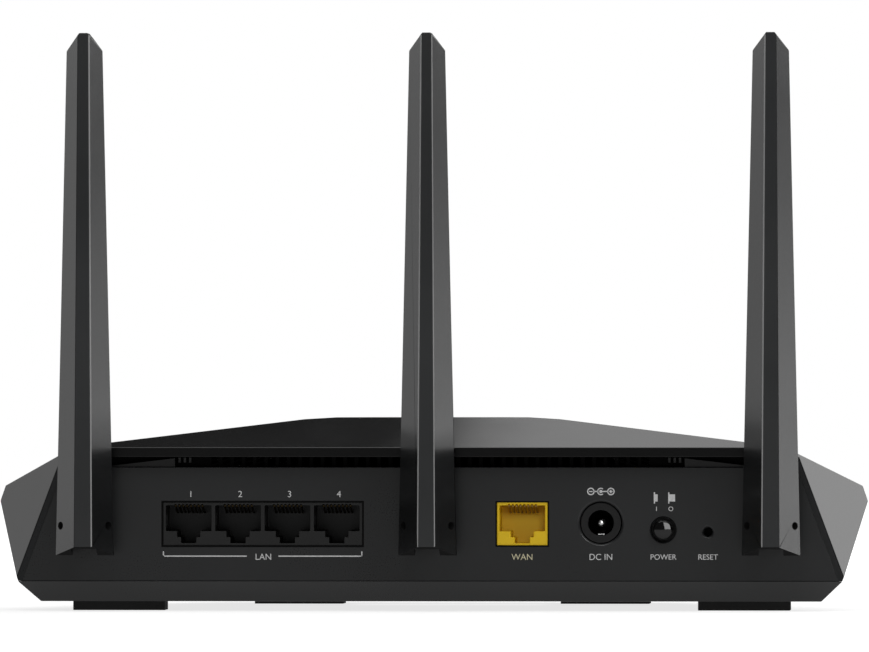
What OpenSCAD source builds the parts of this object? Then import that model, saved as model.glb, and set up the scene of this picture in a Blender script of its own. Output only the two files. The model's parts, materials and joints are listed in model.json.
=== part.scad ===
// Wireless router: a low faceted body with a rear port panel and three folding antennas.
// X runs along the port panel, Y runs from the port panel to the nose, Z is up.
// The origin is on the floor, below the centre of the whole object's box.
// Shapes are written in the panel frame, whose Y is zero on the port panel, and placed() moves them.

/* [Body] */
// Width across the widest corners of the body
body_w = 231.4; // [229:0.2:237]
// Depth of the body from the port panel to the nose
body_d = 150; // [146:1:158]
// Height of the flat top above the floor
body_h = 51.2; // [50.8:0.2:54]
// Height of the rubber feet
foot_h = 2.4; // [2.2:0.1:2.8]
// Thickness of the moulded walls
wall = 2; // [1.6:0.1:2.2]
// How far the cover's rear lip overhangs the port panel
lip_reach = 4; // [3:0.1:4.4]

/* [Ports] */
// Height of the centre line of the network sockets
port_z = 23; // [23:0.1:23.6]
// Width of one network socket's opening
socket_w = 12; // [11.8:0.05:12.1]
// Height of the plug space of a network socket
socket_h = 6.8; // [6.7:0.05:6.9]
// Distance between neighbouring network sockets
socket_pitch = 13.1; // [12.9:0.05:13.2]
// Diameter of the power inlet's plug hole
inlet_bore_d = 6.8; // [6.4:0.1:7]
// Diameter of the power inlet's centre pin
inlet_pin_d = 2.1; // [2.1, 2.5]

/* [Antennas] */
// Distance between neighbouring antennas
antenna_pitch = 90.6; // [88:0.1:91]
// Height of the swivel and hinge axes above the floor
pivot_z = 22.6; // [22.4:0.1:23]
// Distance of the hinge pin behind the port panel
pivot_reach = 11.5; // [11.5:0.1:12.5]
// Length of an antenna from the hinge pin to the tip
antenna_len = 130; // [110:0.5:150]
// Width of an antenna at the hinge pin
antenna_w = 15.1; // [14.4:0.1:15.2]
// Width of an antenna just below its tip
antenna_tip_w = 9.6; // [8.4:0.1:10]

/* [Buttons] */
// Diameter of the power button
power_button_d = 5.3; // [4.8:0.1:5.5]
// How far the power button moves
power_travel = 2; // [1.6:0.1:2]
// How far the top buttons move
top_button_travel = 0.5; // [0.3:0.05:0.5]

/* [Hidden] */

$fn = 48;
big = 400;
eps = 0.01;
fit = 0.05;      // radial clearance of a shaft that turns in a hole
seam = 0.2;      // gap shown where the cover meets the case
side_seam = 0.05;  // gap between the cover and the sides of the port panel
clear = 0.3;     // gap between pieces that move past each other

charcoal = [0.16, 0.165, 0.17];
dark = [0.08, 0.08, 0.085];
yellow = [0.82, 0.68, 0.24];
gold = [0.8, 0.62, 0.25];
metal = [0.72, 0.73, 0.75];
board_green = [0.1, 0.3, 0.18];
clear_plastic = [0.8, 0.85, 0.9];

// ---------------------------------------------------------------- outer shape
// Corners of the right-hand half of the body, in the panel frame.
half_w = body_w / 2;
lip_top_z = body_h - 8;
case_top_z = lip_top_z - 5.2;      // top edge of the port panel
lip_z = case_top_z + 2.7;          // underside of the cover's lip
part_z = foot_h + 5.4;             // where the cover meets the case
lean = 11.4 / 30.5;                // how much the panel narrows for each unit of height

tail_low = [half_w - 6.4, 0, part_z];
tail_high = [tail_low.x - 30.5 * lean, 0, part_z + 30.5];
widest = [half_w, 21.4, foot_h + 26.5];
wing_top = [half_w - 1.2, 21, lip_top_z - 10.1];
lip_corner = [half_w - 20.1, -lip_reach, lip_top_z];
hump_corner = [34, 14.7, body_h - 0.5];
flat_rear = [25.5, 16, body_h];
flat_front = [18, 66, body_h];
nose_ridge = [0, body_d, 17];
nose_corner = [64, body_d, 12.5];
side_nose = [72, body_d, 16];
floor_tail = [half_w - 12.1, 6.5, foot_h];
floor_nose = [62, body_d - 5, foot_h];
bevel_in = 1.1;                    // bevel between panel and side facet, measured on the panel
bevel_on_side = [0.7, 1.2, 0.3];  // the same bevel, measured along the side facet

function flip(p) = [-p.x, p.y, p.z];
function along_x(p) = [p.x + 10, p.y, p.z];

// Facets that cross the centre line, each as three corners.
middle_facets = [
    [[0, -lip_reach, lip_top_z], [10, -lip_reach, lip_top_z], flat_rear],
    [flat_rear, flat_front, [0, 20, body_h]],
    [[0, body_d, 0], [10, body_d, 0], [0, body_d, 10]],
    [[0, body_d, part_z], [10, body_d, part_z], [0, body_d - 5.5, foot_h]],
    [[0, 0, part_z], [10, 0, part_z], [0, floor_tail.y, foot_h]],
    [[0, 0, foot_h], [10, 0, foot_h], [0, 10, foot_h]]
];
// Facets of the right-hand side, which are mirrored for the left.
side_facets = [
    [tail_low, tail_high, widest],
    [tail_low, widest, side_nose],
    [widest, wing_top, [71, body_d - 1, 18]],
    [lip_corner, wing_top, [48, 118, 32]],
    [lip_corner, hump_corner, [24, 70, body_h]],
    [hump_corner, flat_rear, flat_front],
    [[0, 66, body_h], nose_ridge, nose_corner],
    [tail_low, floor_tail, floor_nose]
];
bevel_facets = [
    [tail_low - [bevel_in, 0, 0], tail_high - [bevel_in, 0, 0], tail_low + bevel_on_side]
];

// A plane is [outward unit normal, distance from the origin].
inside_point = [0, 70, 20];
function plane_through(f, inner = inside_point) =
    let (n = cross(f[1] - f[0], f[2] - f[0]),
         u = n / norm(n),
         side = u * inner < u * f[0] ? 1 : -1)
    [side * u, side * (u * f[0])];
function planes_of(facets) = [for (f = facets) plane_through(f)];
function mirrored(facets) = [for (f = facets) [for (p = f) flip(p)]];

facet_planes = concat(planes_of(middle_facets), planes_of(side_facets),
                      planes_of(mirrored(side_facets)));
shell_planes = concat([[[0, -1, 0], 0]], facet_planes, planes_of(bevel_facets),
                      planes_of(mirrored(bevel_facets)));
lip_planes = concat([[[0, -1, 0], lip_reach]], facet_planes);

module half_space(plane, inset) {
    n = plane[0];
    rotate([0, acos(n.z), atan2(n.y, n.x)])
        translate([-big, -big, plane[1] - inset - 2 * big])
            cube(2 * big);
}
module convex(planes, inset = 0) {
    intersection_for (p = planes) half_space(p, inset);
}
module above(z) {
    translate([-big, -big, z]) cube(2 * big);
}
module below(z) {
    translate([-big, -big, z - 2 * big]) cube(2 * big);
}

// ---------------------------------------------------------------- small helpers
antenna_rear = pivot_reach + 5.78;   // rearmost face of an antenna
panel_y = -(body_d - antenna_rear) / 2;
module placed(tint) {
    translate([0, panel_y, 0]) color(tint) children();
}
module block(size, at) {
    // a box centred on X and Y, standing on its lowest face
    translate([at.x - size.x / 2, at.y - size.y / 2, at.z]) cube(size);
}
module rod_y(r, from, to, x, z) {
    translate([x, from, z]) rotate([-90, 0, 0]) cylinder(r = r, h = to - from);
}
module rod_x(r, half_length) {
    rotate([0, 90, 0]) cylinder(r = r, h = 2 * half_length, center = true);
}
module slot_cut(length, width, height) {
    cube([length, width, height], center = true);
    for (s = [-1, 1])
        translate([s * length / 2, 0, 0]) cylinder(d = width, h = height, center = true);
}

// ---------------------------------------------------------------- places
antenna_x = [-antenna_pitch, 0, antenna_pitch];
lan_centre_x = -44.2;
lan_block = [52.9, 16, 11.4];
wan_x = 24.6;
wan_block = [13.5, 16, 11.4];
inlet_x = 45.4;
inlet_z = port_z + 0.3;
power_x = 61.9;
power_z = port_z - 1.5;
reset_x = 73.7;
reset_z = port_z - 2.1;
wall_back = wall + 0.5;              // inner face of the port panel
board_z = port_z - lan_block.z / 2 - 0.1;   // top face of the board
board_t = 1.6;
board_rear = 4.5;
top_button_y = 118;
top_button_x = 40;
button_cap = [11, 5];
led_count = 7;
led_pitch = 6;
led_y = 117;
case_screw_at = [[92, 26], [58, 131]];
board_screw_at = [[82, 11], [77, 62], [56, 112]];
swivel_hole_r = 4;
power_hole_r = 3.275;
reset_hole_r = 1.25;
inlet_ring_r = 5.55;

// ---------------------------------------------------------------- casing
module panel_outline(top, margin) {
    // the face of the port panel between its bevels, drawn in X and Z
    low_x = tail_low.x - bevel_in - margin;
    high_x = low_x - (top - part_z) * lean;
    translate([0, wall_back, 0]) rotate([90, 0, 0])
        linear_extrude(height = wall_back + 1)
            polygon([[-low_x, part_z], [low_x, part_z], [high_x, top], [-high_x, top]]);
}
module countersunk_hole(r, rim, x, z) {
    rod_y(r, -1, wall_back + 1, x, z);
    translate([x, -eps, z]) rotate([-90, 0, 0])
        cylinder(r1 = r + rim, r2 = r, h = rim);
}
module panel_holes() {
    block([lan_block.x + 0.2, 8, lan_block.z + 0.2], [lan_centre_x, 0, board_z]);
    block([wan_block.x + 0.2, 8, wan_block.z + 0.2], [wan_x, 0, board_z]);
    countersunk_hole(inlet_ring_r, 0.5, inlet_x, inlet_z);
    countersunk_hole(power_hole_r, 0.3, power_x, power_z);
    countersunk_hole(reset_hole_r, 0.4, reset_x, reset_z);
    for (x = antenna_x)
        rod_y(swivel_hole_r, -1, wall_back + 1, x, pivot_z);
}
foot_size = [24.4, 12, foot_h + 0.6];
foot_at = [[83, 15], [42, 128]];
keyhole_at = [66, 74];
module foot_pads(size) {
    for (p = foot_at, s = [-1, 1])
        block(size, [s * p.x, p.y, 0]);
}
module keyhole() {
    // a screw head enters the round end and slides under the slot
    translate([0, 0, foot_h - 1]) cylinder(d = 8, h = wall + 2);
    translate([-2, 0, foot_h - 1]) cube([4, 9, wall + 2]);
    translate([0, 9, foot_h - 1]) cylinder(d = 4, h = wall + 2);
}
module floor_vents() {
    for (row = [-1, 1], i = [0 : 8])
        translate([row * 34, 46 + i * 6, foot_h]) slot_cut(36, 2.2, 3 * wall);
}
module bottom_case() placed(charcoal) difference() {
    union() {
        difference() {
            intersection() {
                convex(shell_planes);
                below(part_z);
            }
            convex(shell_planes, wall);
        }
        // tongue that locates the cover
        difference() {
            intersection() {
                convex(shell_planes, wall + 0.1);
                translate([-big, wall_back + 1, part_z - 1.5]) cube([2 * big, 2 * big, 4]);
            }
            convex(shell_planes, wall + 1.3);
        }
        intersection() {
            panel_outline(case_top_z, 0);
            convex(shell_planes);
        }
        intersection() {
            union() {
                for (p = case_screw_at, s = [-1, 1])
                    translate([s * p.x, p.y, foot_h]) cylinder(r = 4.2, h = part_z - foot_h);
                for (p = board_screw_at, s = [-1, 1])
                    translate([s * p.x, p.y, foot_h]) cylinder(r = 3.2, h = board_z - board_t - foot_h);
            }
            convex(shell_planes, wall / 2);
        }
    }
    panel_holes();
    // the line between cover and case carries on across the panel
    translate([-big, -1, part_z]) cube([2 * big, 1.4, seam]);
    foot_pads([foot_size.x + 0.3, foot_size.y + 0.3, foot_size.z]);
    for (s = [-1, 1])
        translate([s * keyhole_at.x, keyhole_at.y, 0]) keyhole();
    floor_vents();
    for (p = case_screw_at, s = [-1, 1])
        translate([s * p.x, p.y, foot_h - 1]) {
            cylinder(r = 1.7, h = 20);
            cylinder(r = 3, h = 3.2);
        }
    for (p = board_screw_at, s = [-1, 1])
        translate([s * p.x, p.y, board_z - 9]) cylinder(r = 1.2, h = 20);
}

module cover_vents() {
    // two banks of slanted slots, one on each side of the flat top
    for (s = [-1, 1], i = [0 : 7])
        translate([s * 58, 30 + i * 6.4, body_h - 6])
            rotate([0, 0, s * 28]) slot_cut(40 - i * 2.2, 1.8, 26);
}
module button_outline(x, margin, from, to) {
    translate([x, top_button_y, (from + to) / 2])
        slot_cut(button_cap.x - button_cap.y, button_cap.y + 2 * margin, to - from);
}
module led_posts(margin, from, to) {
    for (i = [0 : led_count - 1])
        block([2.4 + 2 * margin, 1.2 + 2 * margin, to - from],
              [(i - (led_count - 1) / 2) * led_pitch, led_y, from]);
}
module top_cover() placed(charcoal) difference() {
    union() {
        difference() {
            union() {
                intersection() {
                    convex(shell_planes);
                    above(part_z + seam);
                }
                intersection() {
                    convex(lip_planes);
                    above(lip_z);
                }
            }
            convex(shell_planes, wall);
        }
        // posts that take the case screws
        intersection() {
            for (p = case_screw_at, s = [-1, 1])
                translate([s * p.x, p.y, part_z + seam]) cylinder(r = 3.6, h = body_h);
            convex(shell_planes, wall / 2);
        }
    }
    translate([0, 0.9, 0]) panel_outline(lip_z, -side_seam);
    cover_vents();
    for (s = [-1, 1])
        button_outline(s * top_button_x, 0.25, 15, body_h);
    led_posts(0.1, 15, body_h);
    for (p = case_screw_at, s = [-1, 1])
        translate([s * p.x, p.y, part_z]) cylinder(r = 1.2, h = 11);
}

rib_x = [63.5, 64.9, 66.3];
module vent_grille() placed(dark) {
    grille_y = wall_back + 0.6;
    grille_h = lip_z - case_top_z - 0.1;
    grille_half = 86;
    // rails with bars between them; air leaves through the gaps
    difference() {
        translate([-grille_half, grille_y, case_top_z - 1.4]) cube([2 * grille_half, 1.4, grille_h + 2]);
        for (i = [-19 : 19])
            block([2, 4, grille_h], [i * 3, grille_y, case_top_z + 0.05]);
    }
    for (s = [-1, 1]) {
        for (x = rib_x)
            translate([s * x - 0.35, 1, case_top_z + 1.2]) cube([0.7, grille_y - 1 + eps, grille_h - 1.2]);
        // wedge that closes each end of the slot
        translate([0, grille_y + eps, 0]) rotate([90, 0, 0])
            linear_extrude(height = grille_y - 0.9)
                polygon([[s * 67.5, case_top_z + 0.05], [s * 86, case_top_z + 0.05],
                         [s * 86, case_top_z + 0.25], [s * 67.5, case_top_z + 2.4]]);
    }
}
module rubber_feet() placed(dark) foot_pads([foot_size.x, foot_size.y, foot_size.z - 0.05]);

module screw(head_r, head_h, shank_r, length) {
    difference() {
        cylinder(r = head_r, h = head_h);
        for (a = [0, 90])
            rotate([0, 0, a]) cube([head_r * 1.3, 0.7, head_h], center = true);
    }
    cylinder(r = shank_r, h = length);
}
module case_screws() placed(metal)
    for (p = case_screw_at, s = [-1, 1])
        translate([s * p.x, p.y, foot_h + 1]) screw(2.6, 1.1, 1.15, 13);
module board_screws() placed(metal)
    for (p = board_screw_at, s = [-1, 1])
        translate([s * p.x, p.y, board_z + 1.5]) mirror([0, 0, 1]) screw(2.6, 1.4, 1.15, 9);
module bottom_label() placed([0.8, 0.8, 0.78]) block([52, 22, 0.15], [0, 112, foot_h - 0.15]);

// ---------------------------------------------------------------- board
board_outline = [[88, board_rear], [88, 20], [84, 64], [64, 122]];
module board_hole(p, r) {
    translate([p.x, p.y, board_z - board_t - 1]) cylinder(r = r, h = board_t + 2);
}
module main_board() placed(board_green) difference() {
    translate([0, 0, board_z - board_t]) linear_extrude(height = board_t)
        polygon(concat(board_outline, [for (i = [3 : -1 : 0]) [-board_outline[i].x, board_outline[i].y]]));
    for (p = board_screw_at, s = [-1, 1])
        board_hole([s * p.x, p.y], 1.6);
}

// ---------------------------------------------------------------- network sockets
face_y = 0.3;          // the socket faces sit just inside the panel
socket_depth = 12.5;
tab_w = 6.05;
tab_slot_w = 3.95;
plug_low = -1.9;       // floor of the plug space below the socket's centre line
tab_low = -3.5;
tab_slot_low = -5.1;
module socket_cavity(x) translate([x, 0, port_z]) {
    plug_top = plug_low + socket_h;
    for (step = [[socket_w, plug_low, plug_top], [tab_w, tab_low, 0], [tab_slot_w, tab_slot_low, 0]])
        block([step[0], 2 * socket_depth, step[2] - step[1]], [0, 0, step[1]]);
    // side windows for the plug's shield
    block([socket_w + 1.1, 4, 3.2], [0, 4.4, plug_low + 1.2]);
    // comb that guides the contact wires
    for (i = [0 : 7])
        block([0.6, 2 * socket_depth - 2, 0.35], [(i - 3.5) * 1.016, 0, plug_top - eps]);
}
module contact_wires(x) translate([x, 0, port_z]) {
    wire = 0.42;
    for (i = [0 : 7])
        translate([(i - 3.5) * 1.016 - wire / 2, 0, 0]) rotate([90, 0, 90])
            linear_extrude(height = wire)
                polygon([[2.2, 4.55], [9.6, 2.7], [14, 2.7], [14, 3.1], [9.7, 3.1], [2.2, 4.95]]);
}
lan_x = [for (i = [-1.5 : 1.5]) lan_centre_x + i * socket_pitch];
module jack_block(size, centre_x) {
    difference() {
        block([size.x, size.y - face_y, size.z], [centre_x, (size.y + face_y) / 2, board_z + 0.1]);
        children();
    }
}
module lan_jack_housing() placed(dark) jack_block(lan_block, lan_centre_x)
    for (x = lan_x) socket_cavity(x);
module lan_contacts() placed(gold) for (x = lan_x) contact_wires(x);
module wan_jack_housing() placed(yellow) jack_block(wan_block, wan_x) socket_cavity(wan_x);
module wan_contacts() placed(gold) contact_wires(wan_x);

// ---------------------------------------------------------------- power inlet and switches
inlet_depth = 11;
module dc_jack_housing() placed(dark) difference() {
    union() {
        rod_y(5.35, 0.5, 6, inlet_x, inlet_z);
        block([9.4, 10.5, 2 * (inlet_z - board_z)], [inlet_x, 9.25, board_z + 0.1]);
    }
    rod_y(inlet_bore_d / 2, -1, inlet_depth, inlet_x, inlet_z);
    block([2.6, 5, 1], [inlet_x, inlet_depth - 2.5, inlet_z - inlet_bore_d / 2 - 0.8]);
}
module dc_jack_pin() placed(metal) {
    r = inlet_pin_d / 2;
    rod_y(r, 2.6, 13, inlet_x, inlet_z);
    translate([inlet_x, 2.6, inlet_z]) sphere(r = r);
}
module dc_jack_spring() placed(metal)
    translate([inlet_x - 0.9, 0, inlet_z]) rotate([90, 0, 90]) linear_extrude(height = 1.8)
        polygon([[3.6, -2.9], [6.4, -2.1], [inlet_depth + 2, -2.6], [inlet_depth + 2, -2.9],
                 [6.4, -2.4], [3.6, -3.15]]);
switch_front = 5.5;
module power_switch() placed(dark) difference() {
    block([8.4, 12, 2 * (power_z - board_z) - 0.4], [power_x, switch_front + 6, board_z + 0.1]);
    rod_y(2, switch_front - 1, switch_front + 5, power_x, power_z);
}
button_front = -2.2;
module power_button() placed(dark) {
    r = power_button_d / 2;
    edge = 0.7;
    translate([power_x, button_front, power_z]) rotate([-90, 0, 0]) rotate_extrude()
        difference() {
            square([r, 3 - button_front - 0.2]);
            translate([r - edge, 0]) difference() {
                square(edge);
                translate([0, edge]) circle(r = edge);
            }
        }
    rod_y(1.4, 2.7, 7, power_x, power_z);
}
reset_front = 2.8;
module reset_switch() placed(dark) difference() {
    block([6, 4, 2 * (reset_z - board_z) - 0.4], [reset_x, 7, board_z + 0.1]);
    rod_y(1.1, 4, 6.6, reset_x, reset_z);
}
module reset_button() placed([0.75, 0.75, 0.72]) rod_y(1, reset_front, 6, reset_x, reset_z);
module tact_switch(x) {
    block([6, 6, 1.1], [x, top_button_y, board_z + 0.05]);
    translate([x, top_button_y, board_z]) cylinder(r = 1.7, h = 1.5);
}
module top_button(x) {
    // the cap follows the sloping cover and stands a little proud of it
    intersection() {
        button_outline(x, 0, board_z + 6, body_h);
        convex(shell_planes, -0.3);
    }
    button_outline(x, 0.9, board_z + 5, board_z + 6 + eps);
    translate([x, top_button_y, board_z + 2.1]) cylinder(r = 1.6, h = 3.5);
}
module wifi_switch() placed(dark) tact_switch(-top_button_x);
module wps_switch() placed(dark) tact_switch(top_button_x);
module wifi_button() placed(charcoal) top_button(-top_button_x);
module wps_button() placed(charcoal) top_button(top_button_x);

// ---------------------------------------------------------------- electronics
processor_at = [8, 64];
radio_at = [[-48, 66], [60, 66]];
chip_z = board_z + 0.05;
shield_h = 3;
pad_t = 0.9;
module transformers() placed(dark) {
    for (x = [-57.5, -31])
        block([24, 10, 5.4], [x, 24, chip_z]);
    block([13, 10, 5.4], [wan_x, 24, chip_z]);
}
module processor() placed(dark) block([21, 21, 1.5], [processor_at.x, processor_at.y, chip_z]);
module memory_chips() placed(dark)
    for (s = [-1, 1])
        block([9, 13, 1.1], [processor_at.x + s * 9, 97, chip_z]);
module network_chip() placed(dark) block([14, 14, 1.2], [-38, 42, chip_z]);
module radio_chips() placed(dark)
    for (p = radio_at)
        block([9, 9, 1], [p.x, p.y, chip_z]);
module radio_shields() placed(metal)
    for (p = radio_at)
        difference() {
            block([27, 25, shield_h], [p.x, p.y, chip_z]);
            block([26.4, 24.4, shield_h - 0.3], [p.x, p.y, chip_z - eps]);
        }
module thermal_pads() placed([0.6, 0.62, 0.66]) {
    block([18, 18, pad_t], [processor_at.x, processor_at.y, chip_z + 1.52]);
    for (p = radio_at)
        block([20, 18, pad_t], [p.x, p.y, chip_z + shield_h + 0.02]);
}
module finned(size, at, fins, base) {
    block([size.x, size.y, base], at);
    for (i = [0 : fins - 1])
        block([1.1, size.y, size.z],
              [at.x + (i / (fins - 1) - 0.5) * (size.x - 1.1), at.y, at.z]);
}
module main_heatsink() placed(metal)
    finned([52, 44, 17], [processor_at.x, processor_at.y, chip_z + 1.54 + pad_t], 14, 3);
module radio_heatsinks() placed(metal)
    for (p = radio_at)
        finned([28, 28, 8.5], [p.x, p.y, chip_z + shield_h + 0.04 + pad_t], 9, 2);
module inductors() placed([0.3, 0.3, 0.31])
    for (i = [0 : 2])
        difference() {
            block([7, 7, 3.6], [46 + i * 10, 32, chip_z]);
            translate([46 + i * 10, 32, chip_z + 3.2]) cylinder(r = 2.4, h = 1);
        }
module capacitors() placed([0.35, 0.36, 0.4])
    for (i = [0 : 3])
        translate([42 + i * 9, 22, chip_z]) cylinder(r = 3.1, h = 7.4);
module status_leds() placed([0.9, 0.9, 0.85])
    for (i = [0 : led_count - 1])
        block([1.6, 0.9, 0.7], [(i - (led_count - 1) / 2) * led_pitch, led_y, chip_z]);
module light_pipe() placed(clear_plastic) {
    intersection() {
        led_posts(0, chip_z + 1, body_h);
        convex(shell_planes, 0.1);
    }
    block([led_pitch * (led_count - 1) + 5, 1.8, 1.6], [0, led_y, chip_z + 3]);
}

// ---------------------------------------------------------------- antenna leads
// Each lead runs from inside the swivel's hollow stub to a connector beside a radio.
lead_r = 0.6;
lead_end_z = board_z + 1.6;
lead_left_route = [
    [antenna_x[0], -1, pivot_z], [antenna_x[0], 6, pivot_z], [-89.5, 11, 22.4], [-86.5, 16, 22],
    [-82, 22, 21.6], [-77, 28, 21.4], [-72.5, 34, 21.2], [-69.5, 40, 21], [-67.5, 46, 20.6],
    [-66.5, 52, 19.8], [-66.2, 57, lead_end_z]
];
lead_centre_route = [
    [antenna_x[1], -1, pivot_z], [antenna_x[1], 6, pivot_z], [-0.6, 11, 22.4], [-2.2, 16, 22],
    [-5, 21, 21.6], [-9, 26, 21.4], [-14, 31, 21.2], [-19.5, 36, 21], [-24, 42, 20.6],
    [-27, 48, 19.8], [-28.2, 53, lead_end_z]
];
lead_right_route = [
    [antenna_x[2], -1, pivot_z], [antenna_x[2], 6, pivot_z], [89.8, 11, 22.4], [87.8, 17, 22],
    [85.4, 23, 21.6], [83.2, 29, 21.4], [81.4, 35, 21.2], [80, 40, 21], [79, 45, 20.6],
    [78.4, 50, 19.8], [78.2, 54.5, lead_end_z]
];
function unit(v) = v / norm(v);
function tangent(p, i) = unit(p[min(i + 1, len(p) - 1)] - p[max(i - 1, 0)]);
function ring(p, i, r, sides) =
    let (t = tangent(p, i), side = unit(cross(t, [0, 0, 1])), up = cross(side, t))
    [for (k = [0 : sides - 1]) p[i] + r * (cos(360 * k / sides) * side + sin(360 * k / sides) * up)];
module tube(route, r, sides = 8) {
    last = len(route) - 1;
    points = [for (i = [0 : last]) each ring(route, i, r, sides)];
    walls = [for (i = [0 : last - 1], k = [0 : sides - 1])
        [i * sides + k, i * sides + (k + 1) % sides, (i + 1) * sides + (k + 1) % sides,
         (i + 1) * sides + k]];
    start = [for (k = [sides - 1 : -1 : 0]) k];
    end = [for (k = [0 : sides - 1]) last * sides + k];
    polyhedron(points, concat([start], walls, [end]));
}
module coax_lead_left() placed(dark) tube(lead_left_route, lead_r);
module coax_lead_centre() placed(dark) tube(lead_centre_route, lead_r);
module coax_lead_right() placed(dark) tube(lead_right_route, lead_r);
module coax_connectors() placed(gold)
    for (route = [lead_left_route, lead_centre_route, lead_right_route]) {
        end = route[len(route) - 1];
        block([3, 3, 0.5], [end.x, end.y + 1.9, chip_z]);
        translate([end.x, end.y + 1.9, chip_z]) cylinder(r = 1.25, h = 2);
    }

// ---------------------------------------------------------------- antennas
// An antenna is written about its hinge pin: X along the pin, Z towards the tip.
strip_base = 2.28;       // half the width of the flat strip at the hinge
strip_tip = 1.52;        // half its width below the tip
rear_base = -5.7;
rear_tip = -3.8;
edge_base = 1.7;
front_base = 5.2;
front_half_base = 4.2;
front_half_tip = 2.5;
tip_flat_half = 1.1;
shoulder = antenna_len - 4.7;
base_r = 8;
heel_z = -5.65;          // height of the strip's lower end
toe_z = -7.8;            // height of the wide edges' lower ends
half_base = antenna_w / 2;
half_tip = antenna_tip_w / 2;
edge_tip = rear_tip + (half_tip - strip_tip) * (edge_base - rear_base) / (half_base - strip_base);
front_tip = edge_tip + (half_tip - front_half_tip) * (front_base - edge_base)
            / (half_base - front_half_base);
antenna_middle = [0, 0, 40];
blade_facets = [
    [[0, rear_base, 0], [1, rear_base, 0], [0, rear_tip, shoulder]],
    [[0, front_base, 0], [1, front_base, 0], [0, front_tip, shoulder]],
    [[0, 0, antenna_len], [1, 0, antenna_len], [0, 1, antenna_len]],
    [[0, rear_base, heel_z], [1, rear_base, heel_z], [0, edge_base, toe_z]]
];
blade_side_facets = [
    [[strip_base, rear_base, 0], [half_base, edge_base, 0], [strip_tip, rear_tip, shoulder]],
    [[half_base, edge_base, 0], [front_half_base, front_base, 0], [half_tip, edge_tip, shoulder]],
    [[half_tip, 0, shoulder], [half_tip, 1, shoulder], [tip_flat_half, 0, antenna_len]]
];
blade_planes = [for (f = concat(blade_facets, blade_side_facets, mirrored(blade_side_facets)))
    plane_through(f, antenna_middle)];
split_y = 2;             // where the shell meets the cover
slot_half = 3.3;
knuckle_half = 3;
knuckle_r = 3.6;
pin_r = 1;
blade_wall = 1.3;
module blade() intersection() {
    convex(blade_planes);
    union() {
        above(0);
        rod_x(base_r, big);
    }
}
module blade_hollow() intersection() {
    convex(blade_planes, blade_wall);
    above(9);
    below(shoulder - 1);
}
module hinge_slot() translate([-slot_half, -knuckle_r - clear, -base_r - 1])
    cube([2 * slot_half, 2 * base_r, base_r + 1 + knuckle_r + clear]);
module blade_half(low, high) difference() {
    intersection() {
        blade();
        translate([-big, low, -big]) cube([2 * big, high - low, 2 * big]);
    }
    blade_hollow();
    hinge_slot();
    rod_x(pin_r + 0.02, half_base);
}
module at_antenna(i) {
    translate([antenna_x[i], -pivot_reach, pivot_z]) children();
}
module antenna_shell(i) placed(charcoal) at_antenna(i) blade_half(-base_r, split_y);
module antenna_cover(i) placed(charcoal) at_antenna(i) blade_half(split_y + 0.1, base_r);
module antenna_pin(i) placed(metal) at_antenna(i) rod_x(pin_r, 5.6);
module antenna_radiator(i) placed(board_green) at_antenna(i)
    translate([-2.2, -0.4, 12]) cube([4.4, 0.8, 104]);
flange_back = -0.3;
flange_front = -2.6;
stub_end = 5.6;
clip_from = wall_back + clear;
module antenna_knuckle(i) placed(dark) difference() {
    union() {
        at_antenna(i) {
            rod_x(knuckle_r, knuckle_half);
            translate([-knuckle_half, 0, -2.6]) cube([2 * knuckle_half, pivot_reach + flange_front + eps, 5.2]);
        }
        rod_y(6.4, flange_front, flange_back, antenna_x[i], pivot_z);
        rod_y(swivel_hole_r - fit, flange_back - eps, stub_end, antenna_x[i], pivot_z);
    }
    at_antenna(i) rod_x(pin_r + fit, knuckle_half + 1);
    rod_y(1.6, -4.5, stub_end + 1, antenna_x[i], pivot_z);
    difference() {
        rod_y(5, clip_from - fit, clip_from + 1 + fit, antenna_x[i], pivot_z);
        rod_y(3, clip_from - 1, clip_from + 2, antenna_x[i], pivot_z);
    }
}
module antenna_retainer(i) placed(metal) difference() {
    rod_y(5.3, clip_from, clip_from + 1, antenna_x[i], pivot_z);
    rod_y(3.02, clip_from - 1, clip_from + 2, antenna_x[i], pivot_z);
    block([2.6, 6, 8], [antenna_x[i], clip_from, pivot_z]);
}

bottom_case();
top_cover();
vent_grille();
rubber_feet();
case_screws();
bottom_label();
main_board();
board_screws();
lan_jack_housing();
lan_contacts();
wan_jack_housing();
wan_contacts();
dc_jack_housing();
dc_jack_pin();
dc_jack_spring();
power_switch();
power_button();
reset_switch();
reset_button();
wifi_switch();
wifi_button();
wps_switch();
wps_button();
transformers();
processor();
memory_chips();
network_chip();
radio_chips();
radio_shields();
thermal_pads();
main_heatsink();
radio_heatsinks();
inductors();
capacitors();
status_leds();
light_pipe();
coax_connectors();
coax_lead_left();
coax_lead_centre();
coax_lead_right();
antenna_knuckle(0);  // antenna_left_knuckle
antenna_retainer(0);  // antenna_left_retainer
antenna_pin(0);  // antenna_left_pin
antenna_shell(0);  // antenna_left_shell
antenna_cover(0);  // antenna_left_cover
antenna_radiator(0);  // antenna_left_radiator
antenna_knuckle(1);  // antenna_centre_knuckle
antenna_retainer(1);  // antenna_centre_retainer
antenna_pin(1);  // antenna_centre_pin
antenna_shell(1);  // antenna_centre_shell
antenna_cover(1);  // antenna_centre_cover
antenna_radiator(1);  // antenna_centre_radiator
antenna_knuckle(2);  // antenna_right_knuckle
antenna_retainer(2);  // antenna_right_retainer
antenna_pin(2);  // antenna_right_pin
antenna_shell(2);  // antenna_right_shell
antenna_cover(2);  // antenna_right_cover
antenna_radiator(2);  // antenna_right_radiator
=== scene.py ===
"""Looks of a wireless router: skins with moulded edges and textures, prints, light and camera.

The CAD frame gives every place and size. Metres, with X along the port panel, Y from the
panel to the nose and Z up. A piece called skin_NODE stands for that CAD node.
"""
import math

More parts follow.
